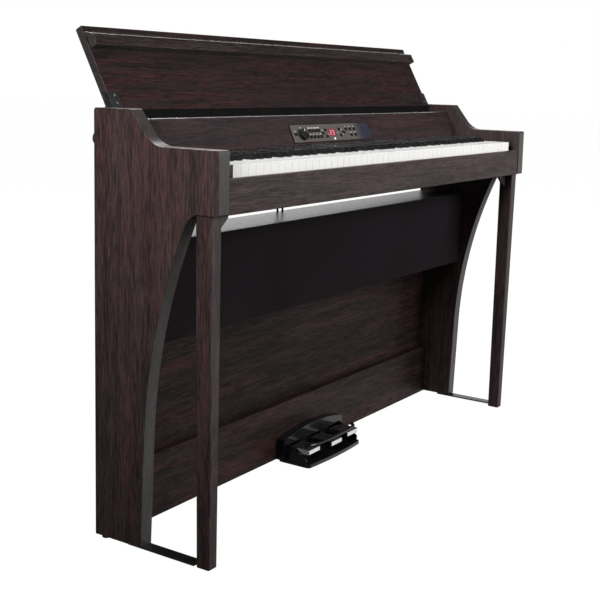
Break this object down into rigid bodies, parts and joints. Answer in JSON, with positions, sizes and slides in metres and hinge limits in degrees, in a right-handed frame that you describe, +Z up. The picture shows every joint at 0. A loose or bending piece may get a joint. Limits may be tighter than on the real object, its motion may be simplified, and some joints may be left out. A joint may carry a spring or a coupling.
{
  "type": "digital piano on stand",
  "caption": "Console digital piano on a panel stand with front legs, open hinged key lid, tilted control panel, slim speaker box and a pedal unit.",
  "frame": {"origin": "on the floor, under the middle of the whole object with its lid open", "axes": "+X to the player's right, +Y to the back, +Z up; the keys face -Y"},
  "size_m": [1.346, 0.38, 0.995],
  "materials": {
    "panel_wood": "satin dark rosewood laminate, grain upright",
    "leg_wood": "satin dark rosewood laminate, grain upright",
    "back_wood": "matte dark laminate, grain along the board",
    "kick_wood": "satin dark rosewood laminate, grain along the board",
    "box_board": "satin black-brown laminate",
    "key_bed_board": "matte dark board",
    "rail_wood": "satin dark rosewood laminate, grain along the rail",
    "rear_cover_board": "matte dark board",
    "name_board_wood": "satin dark laminate",
    "lid_wood": "satin dark rosewood laminate, wavy grain along the lid",
    "lip_wood": "satin dark laminate",
    "black_steel": "black powder coat",
    "hinge_steel": "black paint with bare screw heads",
    "driver_steel": "black baskets",
    "frame_steel": "grey pressed sheet",
    "rod_steel": "bright ground bar",
    "pedal_chrome": "polished plate",
    "foot_plastic": "matte",
    "black_plastic": "matte",
    "end_block_black": "satin black",
    "well_black": "matte black",
    "button_plastic": "satin",
    "panel_bronze": "satin bronze-grey, darker at its right-hand end",
    "circuit_green": "solder resist",
    "display_glass": "dark red window",
    "knob_black": "black, satin rim",
    "pedal_case_gloss": "polished black",
    "key_white": "semi-gloss off-white",
    "key_black": "semi-gloss black",
    "speaker_cloth": "black woven cloth",
    "bumper_rubber": "matte",
    "lead_rubber": "matte"
  },
  "bodies": {
    "case": {"left_side_panel": "panel_wood", "right_side_panel": "panel_wood", "right_front_leg": "leg_wood", "left_front_leg": "leg_wood", "leg_brackets": "black_steel", "floor_bars": "black_steel", "rear_feet": "foot_plastic", "wall_bumpers": "bumper_rubber", "back_board": "back_wood", "kick_board": "kick_wood", "corner_brackets": "black_plastic", "speaker_box": "box_board", "speaker_grille": "speaker_cloth", "speaker_drivers": "driver_steel", "key_bed": "key_bed_board", "front_rail": "rail_wood", "end_blocks": "end_block_black", "key_pivot_rod": "rod_steel", "key_frame": "frame_steel", "key_contact_board": "circuit_green", "main_circuit_board": "circuit_green", "rear_cover": "rear_cover_board", "lid_well": "well_black", "socket_box": "black_plastic", "name_board": "name_board_wood", "control_panel": "panel_bronze", "display_window": "display_glass", "control_circuit_board": "circuit_green", "lid_hinge_brackets": "hinge_steel", "pedal_base": "pedal_case_gloss", "pedal_housing": "pedal_case_gloss", "pedal_shaft": "rod_steel", "speaker_leads": "lead_rubber"},
    "lid": {"lid_board": "lid_wood", "lid_hinge_rail": "well_black", "lid_lip": "lip_wood", "lid_hinge_arms": "hinge_steel"},
    "c_row": {"c_keys": "key_white"},
    "d_row": {"d_keys": "key_white"},
    "e_row": {"e_keys": "key_white"},
    "f_row": {"f_keys": "key_white"},
    "g_row": {"g_keys": "key_white"},
    "a_row": {"a_keys": "key_white"},
    "b_row": {"b_keys": "key_white"},
    "c_sharp_row": {"c_sharp_keys": "key_black"},
    "d_sharp_row": {"d_sharp_keys": "key_black"},
    "f_sharp_row": {"f_sharp_keys": "key_black"},
    "g_sharp_row": {"g_sharp_keys": "key_black"},
    "a_sharp_row": {"a_sharp_keys": "key_black"},
    "knob": {"volume_knob": "knob_black"},
    "power_switch": {"power_button": "button_plastic"},
    "upper_left_switch": {"upper_left_buttons": "button_plastic"},
    "lower_left_switch": {"lower_left_buttons": "button_plastic"},
    "left_menu_switch": {"left_menu_buttons": "button_plastic"},
    "right_menu_switch": {"right_menu_buttons": "button_plastic"},
    "upper_right_switch": {"upper_right_buttons": "button_plastic"},
    "lower_right_switch": {"lower_right_buttons": "button_plastic"},
    "left_lever": {"left_pedal": "pedal_chrome"},
    "middle_lever": {"middle_pedal": "pedal_chrome"},
    "right_lever": {"right_pedal": "pedal_chrome"}
  },
  "joints": [
    {"name": "lid_hinge", "type": "hinge", "parent": "case", "child": "lid", "pos_m": [0, 0.05037, 0.81222], "axis": [1, 0, 0], "range_deg": [0, 135.5]},
    {"name": "c_press", "type": "hinge", "parent": "case", "child": "c_row", "pos_m": [0, 0.06, 0.738], "axis": [1, 0, 0], "range_deg": [0, 2.4], "stiffness_Nm_per_rad": 60, "springref_deg": -2.86},
    {"name": "d_press", "type": "hinge", "parent": "case", "child": "d_row", "pos_m": [0, 0.06, 0.738], "axis": [1, 0, 0], "range_deg": [0, 2.4], "stiffness_Nm_per_rad": 60, "springref_deg": -2.86},
    {"name": "e_press", "type": "hinge", "parent": "case", "child": "e_row", "pos_m": [0, 0.06, 0.738], "axis": [1, 0, 0], "range_deg": [0, 2.4], "stiffness_Nm_per_rad": 60, "springref_deg": -2.86},
    {"name": "f_press", "type": "hinge", "parent": "case", "child": "f_row", "pos_m": [0, 0.06, 0.738], "axis": [1, 0, 0], "range_deg": [0, 2.4], "stiffness_Nm_per_rad": 60, "springref_deg": -2.86},
    {"name": "g_press", "type": "hinge", "parent": "case", "child": "g_row", "pos_m": [0, 0.06, 0.738], "axis": [1, 0, 0], "range_deg": [0, 2.4], "stiffness_Nm_per_rad": 60, "springref_deg": -2.86},
    {"name": "a_press", "type": "hinge", "parent": "case", "child": "a_row", "pos_m": [0, 0.06, 0.738], "axis": [1, 0, 0], "range_deg": [0, 2.4], "stiffness_Nm_per_rad": 60, "springref_deg": -2.86},
    {"name": "b_press", "type": "hinge", "parent": "case", "child": "b_row", "pos_m": [0, 0.06, 0.738], "axis": [1, 0, 0], "range_deg": [0, 2.4], "stiffness_Nm_per_rad": 60, "springref_deg": -2.86},
    {"name": "c_sharp_press", "type": "hinge", "parent": "case", "child": "c_sharp_row", "pos_m": [0, 0.06, 0.738], "axis": [1, 0, 0], "range_deg": [0, 2.4], "stiffness_Nm_per_rad": 60, "springref_deg": -2.86},
    {"name": "d_sharp_press", "type": "hinge", "parent": "case", "child": "d_sharp_row", "pos_m": [0, 0.06, 0.738], "axis": [1, 0, 0], "range_deg": [0, 2.4], "stiffness_Nm_per_rad": 60, "springref_deg": -2.86},
    {"name": "f_sharp_press", "type": "hinge", "parent": "case", "child": "f_sharp_row", "pos_m": [0, 0.06, 0.738], "axis": [1, 0, 0], "range_deg": [0, 2.4], "stiffness_Nm_per_rad": 60, "springref_deg": -2.86},
    {"name": "g_sharp_press", "type": "hinge", "parent": "case", "child": "g_sharp_row", "pos_m": [0, 0.06, 0.738], "axis": [1, 0, 0], "range_deg": [0, 2.4], "stiffness_Nm_per_rad": 60, "springref_deg": -2.86},
    {"name": "a_sharp_press", "type": "hinge", "parent": "case", "child": "a_sharp_row", "pos_m": [0, 0.06, 0.738], "axis": [1, 0, 0], "range_deg": [0, 2.4], "stiffness_Nm_per_rad": 60, "springref_deg": -2.86},
    {"name": "volume_turn", "type": "hinge", "parent": "case", "child": "knob", "pos_m": [-0.119, 0.0111, 0.78019], "axis": [0, -0.9033, 0.4289], "range_deg": [-150, 150]},
    {"name": "power_switch_press", "type": "slide", "parent": "case", "child": "power_switch", "axis": [0, 0.9033, -0.4289], "range_m": [0, 0.0008], "stiffness_N_per_m": 400, "springref_m": -0.001},
    {"name": "upper_left_switch_press", "type": "slide", "parent": "case", "child": "upper_left_switch", "axis": [0, 0.9033, -0.4289], "range_m": [0, 0.0008], "stiffness_N_per_m": 400, "springref_m": -0.001},
    {"name": "lower_left_switch_press", "type": "slide", "parent": "case", "child": "lower_left_switch", "axis": [0, 0.9033, -0.4289], "range_m": [0, 0.0008], "stiffness_N_per_m": 400, "springref_m": -0.001},
    {"name": "left_menu_switch_press", "type": "slide", "parent": "case", "child": "left_menu_switch", "axis": [0, 0.9033, -0.4289], "range_m": [0, 0.0008], "stiffness_N_per_m": 400, "springref_m": -0.001},
    {"name": "right_menu_switch_press", "type": "slide", "parent": "case", "child": "right_menu_switch", "axis": [0, 0.9033, -0.4289], "range_m": [0, 0.0008], "stiffness_N_per_m": 400, "springref_m": -0.001},
    {"name": "upper_right_switch_press", "type": "slide", "parent": "case", "child": "upper_right_switch", "axis": [0, 0.9033, -0.4289], "range_m": [0, 0.0008], "stiffness_N_per_m": 400, "springref_m": -0.001},
    {"name": "lower_right_switch_press", "type": "slide", "parent": "case", "child": "lower_right_switch", "axis": [0, 0.9033, -0.4289], "range_m": [0, 0.0008], "stiffness_N_per_m": 400, "springref_m": -0.001},
    {"name": "left_pedal_press", "type": "hinge", "parent": "case", "child": "left_lever", "pos_m": [0, 0.054, 0.036], "axis": [1, 0, 0], "range_deg": [0, 9], "stiffness_Nm_per_rad": 12, "springref_deg": -4.58},
    {"name": "middle_pedal_press", "type": "hinge", "parent": "case", "child": "middle_lever", "pos_m": [0, 0.054, 0.036], "axis": [1, 0, 0], "range_deg": [0, 9], "stiffness_Nm_per_rad": 12, "springref_deg": -4.58},
    {"name": "right_pedal_press", "type": "hinge", "parent": "case", "child": "right_lever", "pos_m": [0, 0.054, 0.036], "axis": [1, 0, 0], "range_deg": [0, 9], "stiffness_Nm_per_rad": 12, "springref_deg": -4.58}
  ]
}
